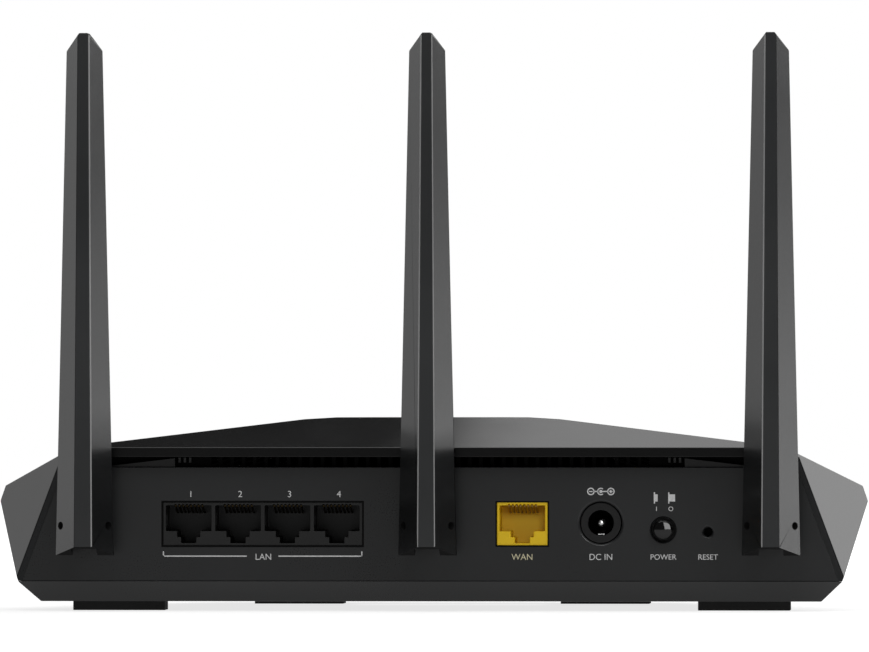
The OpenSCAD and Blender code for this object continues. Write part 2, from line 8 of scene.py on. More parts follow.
import bmesh
import bpy
from mathutils import Matrix, Vector
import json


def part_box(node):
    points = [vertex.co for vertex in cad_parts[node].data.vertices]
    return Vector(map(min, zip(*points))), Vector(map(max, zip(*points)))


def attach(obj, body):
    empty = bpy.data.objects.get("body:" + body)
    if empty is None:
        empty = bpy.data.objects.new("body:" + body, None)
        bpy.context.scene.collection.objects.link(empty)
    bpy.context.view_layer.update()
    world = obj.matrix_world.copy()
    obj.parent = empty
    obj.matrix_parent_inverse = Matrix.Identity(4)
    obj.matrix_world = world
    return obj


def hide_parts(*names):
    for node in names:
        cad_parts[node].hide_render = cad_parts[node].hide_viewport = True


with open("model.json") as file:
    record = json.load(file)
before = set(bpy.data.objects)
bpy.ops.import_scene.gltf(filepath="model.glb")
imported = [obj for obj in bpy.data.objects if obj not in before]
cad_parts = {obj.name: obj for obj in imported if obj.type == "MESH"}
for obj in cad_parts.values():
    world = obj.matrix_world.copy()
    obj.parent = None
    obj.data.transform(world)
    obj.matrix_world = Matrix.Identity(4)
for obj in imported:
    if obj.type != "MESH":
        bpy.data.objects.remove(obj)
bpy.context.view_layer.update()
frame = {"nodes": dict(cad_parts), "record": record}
NODES = frame["nodes"]
RECORD = frame["record"]
BODY_OF = {n: b for b, members in RECORD["behaviour"]["bodies"].items() for n in members}
SLOT_OF = {s["node"]: s["material_slot"] for s in RECORD["subparts"]}
MM = 0.001
SIDES = ("left", "centre", "right")
SHARP = 22.0            # degrees between faces above which an edge is rounded
ROOM = 0.4              # share of the shortest edge beside it that a rounding may take
WELD = 2e-6             # metres within which points of a CAD mesh are one
COPLANAR = 0.4          # degrees between faces below which they are merged


def corner(node, high=False):
    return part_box(node)[1 if high else 0]


def middle(node):
    low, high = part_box(node)
    return (low + high) / 2


PANEL_Y = corner("bottom_case").y          # the face of the port panel


# ------------------------------------------------------------------ materials
class Tree:
    """A small helper that adds and joins shader nodes."""

    def __init__(self, name):
        self.material = bpy.data.materials.new(name)
        self.material.use_nodes = True
        self.tree = self.material.node_tree
        self.shader = self.tree.nodes["Principled BSDF"]
        self.place = self.add("ShaderNodeTexCoord").outputs["Object"]

    def add(self, kind, inputs=(), **settings):
        node = self.tree.nodes.new(kind)
        for key, value in settings.items():
            setattr(node, key, value)
        for key, value in dict(inputs).items():
            self.put(node.inputs[key], value)
        return node

    def put(self, socket, value):
        if isinstance(value, bpy.types.NodeSocket):
            self.tree.links.new(value, socket)
        else:
            socket.default_value = value

    def noise(self, scale, detail=3.0, roughness=0.55, stretch=None):
        place = self.place
        if stretch:
            place = self.add("ShaderNodeMapping", {"Vector": place, "Scale": stretch}).outputs[0]
        node = self.add("ShaderNodeTexNoise", {"Vector": place, "Scale": scale, "Detail": detail,
                                               "Roughness": roughness})
        return node.outputs["Fac"]

    def voronoi(self, scale):
        node = self.add("ShaderNodeTexVoronoi", {"Vector": self.place, "Scale": scale})
        return node.outputs["Distance"]

    def ramp(self, value, low, high, to_low=0.0, to_high=1.0):
        node = self.add("ShaderNodeMapRange", {"Value": value, "From Min": low, "From Max": high,
                                               "To Min": to_low, "To Max": to_high})
        return node.outputs[0]

    def mix_colour(self, factor, first, second):
        node = self.add("ShaderNodeMix", data_type="RGBA")
        self.put(node.inputs[0], factor)
        self.put(node.inputs[6], first)
        self.put(node.inputs[7], second)
        return node.outputs[2]

    def math(self, operation, first, second):
        node = self.add("ShaderNodeMath", operation=operation)
        self.put(node.inputs[0], first)
        self.put(node.inputs[1], second)
        return node.outputs[0]

    def bump(self, height, strength, depth, under=None):
        inputs = {"Height": height, "Strength": strength, "Distance": depth}
        if under is not None:
            inputs["Normal"] = under
        return self.add("ShaderNodeBump", inputs).outputs["Normal"]


def grey(value, warm=0.0):
    return (value * (1 + warm), value, value * (1 - warm), 1.0)


def shade(colour, factor):
    return tuple(c * factor for c in colour[:3]) + (1.0,)


def moulded(name, colour, roughness, grain=1800.0, grain_depth=0.02, strength=0.25,
            specular=0.5, coat=0.0, blotch=0.12):
    """Injection-moulded plastic: spark-eroded grain, faint flow variation and soft dust."""
    t = Tree(name)
    flow = t.noise(22.0, 4.0)
    grains = t.voronoi(grain)
    fine = t.noise(grain * 2.2, 2.0)
    dust = t.noise(420.0, 6.0, 0.7)
    body = t.mix_colour(t.ramp(flow, 0.3, 0.7), shade(colour, 1 - blotch),
                        shade(colour, 1 + blotch))
    specks = t.ramp(dust, 0.70, 0.78, 0.0, 0.35)
    t.put(t.shader.inputs["Base Color"], t.mix_colour(specks, body, shade(colour, 1.9)))
    rough = t.math("ADD", t.ramp(flow, 0.3, 0.7, roughness - 0.035, roughness + 0.035),
                   t.ramp(fine, 0.3, 0.7, -0.02, 0.03))
    t.put(t.shader.inputs["Roughness"], rough)
    height = t.math("ADD", grains, t.math("MULTIPLY", fine, 0.6))
    t.put(t.shader.inputs["Normal"], t.bump(height, strength, grain_depth * MM))
    t.shader.inputs["Specular IOR Level"].default_value = specular
    t.shader.inputs["Coat Weight"].default_value = coat
    t.shader.inputs["Coat Roughness"].default_value = 0.12
    return t.material


def rubber(name, colour):
    t = Tree(name)
    pits = t.noise(2600.0, 3.0)
    smear = t.noise(60.0, 3.0)
    t.put(t.shader.inputs["Base Color"],
          t.mix_colour(t.ramp(smear, 0.35, 0.7), colour, shade(colour, 1.6)))
    t.put(t.shader.inputs["Roughness"], t.ramp(smear, 0.3, 0.7, 0.7, 0.86))
    t.put(t.shader.inputs["Normal"], t.bump(pits, 0.5, 0.05 * MM))
    t.shader.inputs["Specular IOR Level"].default_value = 0.35
    return t.material


def metal(name, colour, roughness=0.28, brushed=None):
    t = Tree(name)
    stretch = brushed or (1.0, 1.0, 1.0)
    streaks = t.noise(900.0, 3.0, stretch=stretch)
    tarnish = t.noise(70.0, 4.0)
    t.put(t.shader.inputs["Base Color"],
          t.mix_colour(t.ramp(tarnish, 0.35, 0.75), colour, shade(colour, 0.72)))
    t.put(t.shader.inputs["Roughness"], t.ramp(streaks, 0.3, 0.7, roughness * 0.8, roughness * 1.3))
    t.put(t.shader.inputs["Normal"], t.bump(streaks, 0.2, 0.02 * MM))
    t.shader.inputs["Metallic"].default_value = 1.0
    return t.material


def printed(name, colour):
    """Screen-printed ink: slightly uneven, with pinholes at its edges."""
    t = Tree(name)
    patchy = t.noise(1500.0, 3.0)
    t.put(t.shader.inputs["Base Color"],
          t.mix_colour(t.ramp(patchy, 0.3, 0.75), colour, shade(colour, 0.82)))
    t.put(t.shader.inputs["Roughness"], t.ramp(patchy, 0.3, 0.7, 0.5, 0.65))
    t.put(t.shader.inputs["Normal"], t.bump(patchy, 0.15, 0.01 * MM))
    return t.material


def circuit(name):
    """Solder mask with traces showing faintly through it."""
    t = Tree(name)
    brick = t.add("ShaderNodeTexBrick", {"Vector": t.place, "Scale": 240.0, "Mortar Size": 0.03,
                                         "Color1": (0.008, 0.075, 0.03, 1),
                                         "Color2": (0.012, 0.10, 0.045, 1),
                                         "Mortar": (0.02, 0.16, 0.07, 1)})
    t.put(t.shader.inputs["Base Color"], brick.outputs["Color"])
    t.put(t.shader.inputs["Roughness"], t.ramp(t.noise(300.0), 0.3, 0.7, 0.25, 0.4))
    t.put(t.shader.inputs["Normal"], t.bump(brick.outputs["Fac"], 0.3, 0.03 * MM))
    return t.material


def clear(name):
    t = Tree(name)
    haze = t.noise(500.0)
    t.put(t.shader.inputs["Base Color"],
          t.mix_colour(t.ramp(haze, 0.3, 0.7), grey(0.7), grey(0.82)))
    t.put(t.shader.inputs["Roughness"], t.ramp(haze, 0.3, 0.7, 0.25, 0.4))
    t.shader.inputs["Transmission Weight"].default_value = 0.35
    return t.material


CHARCOAL = (0.0205, 0.0212, 0.0218, 1.0)
MATERIALS = {
    "case_plastic": moulded("case_plastic", shade(CHARCOAL, 0.72), 0.30, 1500.0, 0.016, 0.18),
    "cover_plastic": moulded("cover_plastic", shade(CHARCOAL, 0.16), 0.09, 2200.0, 0.002, 0.04),
    "antenna_plastic": moulded("antenna_plastic", shade(CHARCOAL, 1.55), 0.18, 1500.0, 0.008, 0.1),
    "grille_plastic": moulded("grille_plastic", grey(0.004), 0.4),
    "knuckle_plastic": moulded("knuckle_plastic", grey(0.012), 0.42),
    "foot_rubber": rubber("foot_rubber", grey(0.017)),
    "socket_black": moulded("socket_black", grey(0.0125), 0.3, 2600.0, 0.008, 0.12),
    "socket_yellow": moulded("socket_yellow", (0.88, 0.58, 0.012, 1.0), 0.34, 2600.0, 0.008, 0.12,
                             specular=0.2, blotch=0.05),
    "contact_gold": metal("contact_gold", (0.30, 0.20, 0.07, 1.0), 0.4),
    "button_gloss": moulded("button_gloss", grey(0.0012), 0.05, 3000.0, 0.002, 0.03),
    "button_white": moulded("button_white", grey(0.02), 0.4),
    "button_case": moulded("button_case", shade(CHARCOAL, 1.2), 0.3, 2000.0, 0.012, 0.15),
    "screw_steel": metal("screw_steel", grey(0.7), 0.22),
    "clip_steel": metal("clip_steel", grey(0.06), 0.4),
    "label": printed("label", grey(0.55)),
    "board": circuit("board"),
    "radiator": circuit("radiator"),
    "chip_black": moulded("chip_black", grey(0.014), 0.5, 2400.0, 0.02, 0.3),
    "thermal_pad": rubber("thermal_pad", (0.28, 0.31, 0.38, 1.0)),
    "heatsink": metal("heatsink", grey(0.6), 0.35, brushed=(0.05, 1.0, 1.0)),
    "capacitor": metal("capacitor", grey(0.5), 0.3),
    "led_lens": clear("led_lens"),
    "lead_jacket": moulded("lead_jacket", grey(0.015), 0.35),
}
# Darker and lighter materials for chosen faces and parts. Where marked, they are painted shade or
# painted highlights that these lights don't give, so the tone there isn't the part's colour.
# Painted shade: nearly black plastic on the rear face of the cover's lip.
LIP_PAINTED_SHADE = moulded("lip_painted_shade", grey(0.003), 0.3, specular=0.25)
# Painted highlight: lighter plastic on the rounding along the port panel's top edge.
RIM_PAINTED_HIGHLIGHT = moulded("rim_painted_highlight", shade(CHARCOAL, 2.6), 0.25, 1500.0, 0.016, 0.18)
# Painted light: a lighter copy of the case plastic on the cover's slanted side bands.
BAND_PAINTED_LIGHT = moulded("band_painted_light", shade(CHARCOAL, 1.3), 0.30, 1500.0, 0.016, 0.18)
# Painted shade: darker plastic on the faces inside the LAN sockets.
CAVITY_PAINTED_SHADE = moulded("cavity_painted_shade", grey(0.004), 0.35, specular=0.4)
INLET_BLACK = moulded("inlet_black", grey(0.006), 0.35)
# Painted shade: a darker copy of the antenna plastic for the side facets of an antenna.
ANTENNA_FLANK_SHADE = moulded("antenna_flank_shade", shade(CHARCOAL, 0.5), 0.16, 1500.0, 0.008, 0.1)
# Painted highlight: light grey on the roundings beside an antenna's rear strip.
EDGE_PAINTED_HIGHLIGHT = moulded("edge_painted_highlight", grey(0.3), 0.2, 1500.0, 0.004, 0.05)
SHADED_GOLD = metal("shaded_gold", (0.06, 0.042, 0.018, 1.0), 0.4)
# Painted shade: nearly black for faces in slots, bores and holes, faces that look down, and parts
# sitting in holes.
PAINTED_SHADE_BLACK = moulded("painted_shade_black", grey(0.0012), 0.7, specular=0.1)
# Painted shade: the LAN contacts get a darker gold, and the hinge pins and reset button, which sit
# in holes, nearly black.
SPECIAL = {"lan_contacts": SHADED_GOLD, "antenna_left_pin": PAINTED_SHADE_BLACK,
           "antenna_centre_pin": PAINTED_SHADE_BLACK, "antenna_right_pin": PAINTED_SHADE_BLACK,
           "reset_button": PAINTED_SHADE_BLACK}
PRINTS = []
PRINT_WHITE = printed("print_white", grey(0.75))
PRINT_CREAM = printed("print_cream", (0.72, 0.66, 0.44, 1.0))


# ------------------------------------------------------------------ pieces
def link(name, mesh, material):
    piece = bpy.data.objects.new(name, mesh)
    bpy.context.scene.collection.objects.link(piece)
    mesh.materials.clear()
    mesh.materials.append(material)
    return piece


def settle(piece):
    """Turns a piece's modifiers into its mesh."""
    depsgraph = bpy.context.evaluated_depsgraph_get()
    done = bpy.data.meshes.new_from_object(piece.evaluated_get(depsgraph))
    piece.modifiers.clear()
    piece.data = done


def shortest_beside(edge):
    """The shortest edge that meets this one's ends in the two faces beside it."""
    lengths = [edge.calc_length()]
    for face in edge.link_faces:
        for other in face.edges:
            if other is not edge and set(other.verts) & set(edge.verts):
                lengths.append(other.calc_length())
    return min(lengths)


def on_side_band(polygon):
    """The slanted band between the port panel and a side of the cover."""
    normal = polygon.normal
    return (polygon.area > 30e-6 and 0.4 < abs(normal.x) < 0.65 and normal.y < -0.7
            and abs(polygon.center.x) > 0.09)


NEAR_STRIP = math.cos(math.radians(60))    # how near a strip's neighbours' normals must be
NEAR_FACET = math.cos(math.radians(14))


def shade_flats(mesh):
    """Sets corner normals: flat faces keep their own, and the rounded strips between them turn
    smoothly from one to the other. Facets of round walls, which are small, are smoothed.

    The side bands are the exception: their normals are turned towards the rear at the panel,
    so that their tone fades from there as in the photo, though the surface is flat.
    """
    flat_area, strip = 15e-6, 0.35 * MM
    beside_panel = 0.3 * MM
    turn = Vector((0, -1.5, 0))
    normals = [polygon.normal.copy() for polygon in mesh.polygons]
    areas = [polygon.area for polygon in mesh.polygons]
    narrow = []
    around = [[] for _ in mesh.vertices]
    for polygon in mesh.polygons:
        points = [mesh.vertices[v].co for v in polygon.vertices]
        longest = max((points[i] - points[i - 1]).length for i in range(len(points)))
        narrow.append(areas[polygon.index] < strip * longest)
        for vertex in polygon.vertices:
            around[vertex].append(polygon.index)
    corners = []
    for polygon in mesh.polygons:
        own = normals[polygon.index]
        if on_side_band(polygon):
            turned = (own + turn).normalized()
            for vertex in polygon.vertices:
                at_panel = mesh.vertices[vertex].co.y < PANEL_Y + beside_panel
                corners.append(turned if at_panel else own)
            continue
        alone = areas[polygon.index] > flat_area and not narrow[polygon.index]
        for vertex in polygon.vertices:
            if alone:
                corners.append(own)
                continue
            close = NEAR_STRIP if narrow[polygon.index] else NEAR_FACET
            beside = [f for f in around[vertex] if normals[f].dot(own) > close]
            wide = [f for f in beside if not narrow[f]]
            total = Vector((0, 0, 0))
            for f in wide if narrow[polygon.index] and wide else beside:
                total += normals[f] * max(areas[f], 1e-12)
            corners.append(total.normalized() if total.length > 0 else own)
    mesh.normals_split_custom_set(corners)


def skin(node, width, segments=2, material=None, special=None, others=(), reshape=None):
    """A copy of a CAD node's surface with its sharp edges rounded as a moulding tool leaves them.

    width is a radius in mm. special(middle of an edge) gives another radius, or None.
    others holds pairs of a material and a test that picks the faces it goes on.
    reshape moves corners of the surface before its edges are rounded.
    """
    slot = SLOT_OF[node]
    material = material or MATERIALS[slot]
    mesh = NODES[node].data.copy()
    tools = bmesh.new()
    tools.from_mesh(mesh)
    bmesh.ops.remove_doubles(tools, verts=tools.verts, dist=WELD)
    bmesh.ops.dissolve_limit(tools, angle_limit=math.radians(COPLANAR), verts=tools.verts,
                             edges=tools.edges)
    if reshape:
        for vert in tools.verts:
            reshape(vert)
    weights = tools.edges.layers.float.new("bevel_weight_edge")
    for edge in tools.edges:
        if len(edge.link_faces) == 2 and edge.calc_face_angle(0.0) > math.radians(SHARP):
            radius = special((edge.verts[0].co + edge.verts[1].co) / 2) if special else None
            if radius is None:
                radius = min(width, ROOM * shortest_beside(edge) / MM)
            edge[weights] = radius      # a share of the modifier's 1 mm
    tools.to_mesh(mesh)
    tools.free()
    piece = link("skin_" + node, mesh, material)
    for polygon in mesh.polygons:
        polygon.use_smooth = True
    bevel = piece.modifiers.new("edges", "BEVEL")
    bevel.width = MM
    bevel.segments = segments
    bevel.limit_method = "WEIGHT"
    bevel.use_clamp_overlap = False
    bevel.miter_outer = "MITER_SHARP"
    settle(piece)
    shade_flats(piece.data)
    piece.data.materials.clear()
    piece.data.materials.append(material)
    for other, test in others:
        piece.data.materials.append(other)
        for polygon in piece.data.polygons:
            if test(polygon):
                polygon.material_index = len(piece.data.materials) - 1
    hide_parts(node)
    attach(piece, BODY_OF[node])
    return piece


def dress(node, material=None):
    """A CAD node that stays as it is and takes a better material."""
    node_object = NODES[node]
    node_object.data.materials.clear()
    node_object.data.materials.append(material or MATERIALS[SLOT_OF[node]])


def lettering(name, words, size, x, z, material, depth=0.03):
    """Printed words on the port panel, read from behind the router."""
    text = bpy.data.curves.new(name, "FONT")
    text.body = words
    text.size = size * MM
    text.align_x = "CENTER"
    text.align_y = "CENTER"
    text.extrude = depth * MM / 2
    holder = bpy.data.objects.new(name + "_text", text)
    bpy.context.scene.collection.objects.link(holder)
    holder.matrix_world = Matrix.Translation((x, PANEL_Y, z)) @ Matrix.Rotation(
        math.pi / 2, 4, "X")
    depsgraph = bpy.context.evaluated_depsgraph_get()
    mesh = bpy.data.meshes.new_from_object(holder.evaluated_get(depsgraph))
    mesh.transform(holder.matrix_world)
    bpy.data.objects.remove(holder)
    piece = link(name, mesh, material)
    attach(piece, "root")
    PRINTS.append(piece)


def panel_print(name, outlines, material, depth=0.02):
    """Printed flat shapes on the port panel; each outline is a closed list of (x, z) in metres."""
    tools = bmesh.new()
    for outline in outlines:
        face = tools.faces.new([tools.verts.new((x, PANEL_Y - depth * MM, z)) for x, z in outline])
        back = bmesh.ops.extrude_face_region(tools, geom=[face])["geom"]
        bmesh.ops.translate(tools, vec=(0, depth * MM * 2, 0),
                            verts=[v for v in back if isinstance(v, bmesh.types.BMVert)])
    bmesh.ops.recalc_face_normals(tools, faces=tools.faces)
    mesh = bpy.data.meshes.new(name)
    tools.to_mesh(mesh)
    tools.free()
    piece = link(name, mesh, material)
    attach(piece, "root")
    PRINTS.append(piece)


def bar(x0, z0, x1, z1):
    return [(x0, z0), (x1, z0), (x1, z1), (x0, z1)]


def arc(x, z, radius, start, stop, line, steps=24):
    """Short bars that follow an arc, as outlines for panel_print; angles in degrees."""
    outlines = []
    for i in range(steps):
        a0, a1 = (math.radians(start + (stop - start) * k / steps) for k in (i, i + 1))
        near, far = radius - line / 2, radius + line / 2
        outlines.append([(x + r * math.cos(a), z + r * math.sin(a))
                         for a, r in ((a0, near), (a0, far), (a1, far), (a1, near))])
    return outlines


def lathe(name, profile, centre, material, steps=64):
    """A turned piece about an axis along Y; the profile is (radius, y) in mm from the centre."""
    tools = bmesh.new()
    rings = []
    for radius, y in profile:
        if radius == 0:
            rings.append([tools.verts.new(centre + Vector((0, y, 0)) * MM)] * steps)
            continue
        rings.append([tools.verts.new(centre + Vector((
            radius * math.cos(2 * math.pi * k / steps), y,
            radius * math.sin(2 * math.pi * k / steps))) * MM) for k in range(steps)])
    for first, second in zip(rings, rings[1:]):
        for k in range(steps):
            corners = []
            for vert in (first[k - 1], first[k], second[k], second[k - 1]):
                if vert not in corners:
                    corners.append(vert)
            tools.faces.new(corners).smooth = True
    bmesh.ops.recalc_face_normals(tools, faces=tools.faces)
    mesh = bpy.data.meshes.new(name)
    tools.to_mesh(mesh)
    tools.free()
    return link(name, mesh, material)


# ------------------------------------------------------------------ casing
PART_Z = 7.8 * MM                          # where the cover meets the case
PANEL_HALF_LOW = 108.2 * MM                # half the panel's width at that height
PANEL_LEAN = 11.4 / 30.5                   # how much it narrows for each unit of height
PANEL_TOP = 38.0 * MM
LIP_LOW = 39.5 * MM                        # below the lower edge of the cover's rear lip
SEAM = 0.2 * MM                            # gap between the case and the cover
RIM_GAP = 0.04 * MM                        # what close_rim leaves of it
LAN_LOW, LAN_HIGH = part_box("lan_jack_housing")


def at_panel_side(spot):
    """Edges beside the joint between the port panel and the cover stay nearly sharp."""
    edge_x = PANEL_HALF_LOW - (spot.z - PART_Z) * PANEL_LEAN
    if abs(abs(spot.x) - edge_x) < 0.6 * MM and spot.y < PANEL_Y + 4 * MM and spot.z > PART_Z:
        return 0.03
    return None


def case_edge(spot):
    """Radii of the case's edges: a soft one along the panel's top and under the socket block."""
    if spot.y < PANEL_Y + 0.6 * MM:
        if abs(spot.z - PANEL_TOP) < 0.2 * MM:
            return 0.45
        if abs(spot.z - LAN_LOW.z) < 0.4 * MM and LAN_LOW.x < spot.x < LAN_HIGH.x:
            return 0.45
    if abs(spot.z - PART_Z) < 0.5 * MM:
        return 0.08
    return at_panel_side(spot)


def cover_edge(spot):
    """Radii of the cover's edges: small along its lower rim, which closes on the case."""
    return 0.06 if spot.z < PART_Z + 0.5 * MM else at_panel_side(spot)


def close_rim(vert):
    """Draws the cover's lower rim down onto the case, which closes the CAD's gap there."""
    if abs(vert.co.z - PART_Z - SEAM) < 0.03 * MM:
        vert.co.z = PART_Z + RIM_GAP


def on_panel_rim(polygon):
    """The rounding along the port panel's top edge, which gets a lighter plastic as a painted
    highlight.
    """
    return (abs(polygon.center.z - PANEL_TOP) < 0.6 * MM and polygon.normal.z > 0.15
            and polygon.center.y < PANEL_Y + 0.44 * MM)


# Painted highlight: the panel's top rounding takes a lighter plastic.
CASE_SKIN = skin("bottom_case", 0.2, 3, special=case_edge, others=[(RIM_PAINTED_HIGHLIGHT, on_panel_rim)])
skin("top_cover", 0.25, 2, MATERIALS["cover_plastic"], special=cover_edge, reshape=close_rim,
     # Painted light: the side bands take a lighter copy of the plastic.
     others=[(BAND_PAINTED_LIGHT, on_side_band),
             # Painted shade: the lip's rear face is nearly black.
             (LIP_PAINTED_SHADE, lambda f: f.normal.y < -0.8 and f.center.z > LIP_LOW)])
skin("rubber_feet", 0.15, 2)
skin("vent_grille", 0.08, 1,
     # Painted shade: the grille's faces deep in the slot are nearly black.
     others=[(PAINTED_SHADE_BLACK, lambda f: f.center.y > PANEL_Y + 3.05 * MM)])
LAN_FRONT = corner("lan_jack_housing").y + 0.4 * MM
# Painted shade: faces behind the housing's front are darker.
skin("lan_jack_housing", 0.12, 1, others=[(CAVITY_PAINTED_SHADE, lambda f: f.center.y > LAN_FRONT)])
WAN_SKIN = skin("wan_jack_housing", 0.2, 2)
DC_FRONT = corner("dc_jack_housing").y + 0.3 * MM
skin("dc_jack_housing", 0.25, 2, INLET_BLACK,
     # Painted shade: the faces inside the inlet's bore are nearly black.
     others=[(PAINTED_SHADE_BLACK, lambda f: f.center.y > DC_FRONT)])
BUTTON_LOW, BUTTON_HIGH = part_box("power_button")
BUTTON_AXIS = Vector((middle("power_button").x, BUTTON_LOW.y, middle("power_button").z))
BUTTON_R = (BUTTON_HIGH.x - BUTTON_LOW.x) / 2 / MM
BUTTON_LONG = (BUTTON_HIGH.y - BUTTON_LOW.y) / MM
HEAD_LONG = 4.9                            # mm from the button's face to its narrow stem
STEM_R = 1.4
DOME_STEPS = 10
DOME_RISE = 0.55                           # mm from the rim to the top of the button's dome
dome = [(BUTTON_R * 0.9 * math.sin(k / DOME_STEPS * math.pi / 2),
         DOME_RISE * (1 - math.cos(k / DOME_STEPS * math.pi / 2))) for k in range(DOME_STEPS + 1)]
skirt = [(BUTTON_R * 0.975, DOME_RISE + 0.12), (BUTTON_R, DOME_RISE + 0.35),
         (BUTTON_R, HEAD_LONG), (STEM_R, HEAD_LONG), (STEM_R, BUTTON_LONG), (0, BUTTON_LONG)]
BUTTON = lathe("power_button_cap", dome + skirt, BUTTON_AXIS, MATERIALS["button_gloss"])
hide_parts("power_button")
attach(BUTTON, "power_button")
for button in ("wifi_button", "wps_button"):
    skin(button, 0.3, 3)
PIVOT_Z = middle("antenna_left_pin").z
PIVOT_Y = middle("antenna_left_pin").y
PIN_ROOM = 1.3 * MM                        # half the square around a hinge pin's hole


def pin_hole(spot):
    return abs(spot.z - PIVOT_Z) < PIN_ROOM and abs(spot.y - PIVOT_Y) < PIN_ROOM


def blade_edge(spot):
    """A hinge pin's hole stays nearly sharp. The long edges, whose middles are half way up,
    take a full radius."""
    if pin_hole(spot):
        return 0.03
    return 0.22 if 60 * MM < spot.z < 110 * MM else None


def on_strip_edge(polygon, side):
    """The long roundings beside an antenna's rear strip that get a painted highlight: the inner
    one, or both at the centre.
    """
    normal = polygon.normal
    inner = {"left": normal.x > 0.08, "centre": abs(normal.x) > 0.08, "right": normal.x < -0.08}
    return (inner[side] and 3e-6 < polygon.area < 30e-6 and normal.y < -0.6
            and abs(normal.z) < 0.2)


ANTENNA_SKINS = []
for side in SIDES:
    ANTENNA_SKINS += [
        skin(f"antenna_{side}_shell", 0.16, 2, special=blade_edge,
             # Painted shade: faces that look sideways take the darker copy.
             others=[(ANTENNA_FLANK_SHADE, lambda f: abs(f.normal.x) > 0.5),
                     # Painted highlight on the roundings beside the rear strip.
                     (EDGE_PAINTED_HIGHLIGHT, lambda f: on_strip_edge(f, side)),
                     # Painted shade: faces that look down and the pin holes are nearly black.
                     (PAINTED_SHADE_BLACK, lambda f: f.normal.z < -0.6 or pin_hole(f.center))]),
        # The covers take the darker flank copy throughout.
        skin(f"antenna_{side}_cover", 0.16, 2, ANTENNA_FLANK_SHADE)]
    skin(f"antenna_{side}_knuckle", 0.25, 2)
replaced = {n for n in NODES if NODES[n].hide_render}
for name in NODES:
    if name not in replaced:
        dress(name, SPECIAL.get(name))

# ------------------------------------------------------------------ prints
WAN = middle("wan_jack_housing")
DC = middle("dc_jack_pin")
POWER = middle("power_button")
RESET = middle("reset_button")
LAN_X = middle("lan_jack_housing").x
SOCKET_PITCH = 13.1                        # mm
SOCKETS = [LAN_X + (i - 1.5) * SOCKET_PITCH * MM for i in range(4)]
WORD_Z = LAN_LOW.z - 3.1 * MM
NUMBER_SHIFT = 0.6                         # the numerals stand a little right of the sockets
NUMERAL, WORD, SMALL_WORD, MARK = 2.4, 2.3, 2.0, 1.7     # heights of the type in mm
for number, x in enumerate(SOCKETS, 1):
    lettering(f"print_number_{number}", str(number), NUMERAL, x + NUMBER_SHIFT * MM,
              LAN_HIGH.z + 2.1 * MM, PRINT_WHITE)
lettering("print_lan", "LAN", WORD, LAN_X + 0.2 * MM, WORD_Z, PRINT_WHITE)
lettering("print_wan", "WAN", WORD, WAN.x, WORD_Z, PRINT_CREAM)
lettering("print_dc", "DC IN", WORD, DC.x, WORD_Z, PRINT_WHITE)
lettering("print_power", "POWER", SMALL_WORD, POWER.x, WORD_Z, PRINT_WHITE)
lettering("print_reset", "RESET", SMALL_WORD, RESET.x, WORD_Z, PRINT_WHITE)

LINE = 0.3 * MM
GAP = 4.2 * MM                             # half the space left for the word in the bracket
low, tick = LAN_LOW.z - 3.0 * MM, LAN_LOW.z - 1.6 * MM
panel_print("print_bracket", [
    bar(LAN_LOW.x, low, LAN_X - GAP, low + LINE),
    bar(LAN_LOW.x, low, LAN_LOW.x + LINE, tick),
    bar(LAN_X + GAP, low, LAN_HIGH.x, low + LINE),
    bar(LAN_HIGH.x - LINE, low, LAN_HIGH.x, tick)], PRINT_WHITE)

SIGN_Z = DC.z + 8.3 * MM                   # height of the polarity sign
SIGN_R = 0.85 * MM
SIGN_PITCH = 2.65 * MM
sign = (arc(DC.x, SIGN_Z, SIGN_R, 50, 310, LINE, 20)
        + arc(DC.x, SIGN_Z, 0.22 * MM, 0, 360, 0.42 * MM, 12))
for side in (-1, 1):
    x = DC.x + side * SIGN_PITCH
    sign += arc(x, SIGN_Z, SIGN_R, 0, 360, LINE)
    sign.append(bar(x - 0.45 * MM, SIGN_Z - LINE / 2, x + 0.45 * MM, SIGN_Z + LINE / 2))
sign.append(bar(DC.x - SIGN_PITCH + SIGN_R, SIGN_Z - LINE / 2, DC.x - SIGN_R, SIGN_Z + LINE / 2))
sign.append(bar(DC.x + 0.4 * MM, SIGN_Z - LINE / 2, DC.x + SIGN_PITCH - SIGN_R, SIGN_Z + LINE / 2))
x = DC.x + SIGN_PITCH
for z in (-0.3, 0.3):
    sign.append(bar(x - LINE / 2, SIGN_Z + (z - 0.15) * MM, x + LINE / 2, SIGN_Z + (z + 0.15) * MM))
panel_print("print_polarity", sign, PRINT_WHITE)

WAN_LOW, WAN_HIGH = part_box("wan_jack_housing")


def gap_frame(low, high, line):
    """Four black bars around a socket. They stand in for the shadow of the gap around it."""
    return [bar(low.x - line, low.z - line, low.x, high.z + line),
            bar(high.x, low.z - line, high.x + line, high.z + line),
            bar(low.x, low.z - line, high.x, low.z), bar(low.x, high.z, high.x, high.z + line)]


panel_print("lan_socket_gap", gap_frame(LAN_LOW, LAN_HIGH, 0.42 * MM), PAINTED_SHADE_BLACK, 0.01)
panel_print("wan_socket_gap", gap_frame(WAN_LOW, WAN_HIGH, 0.35 * MM), PAINTED_SHADE_BLACK, 0.01)

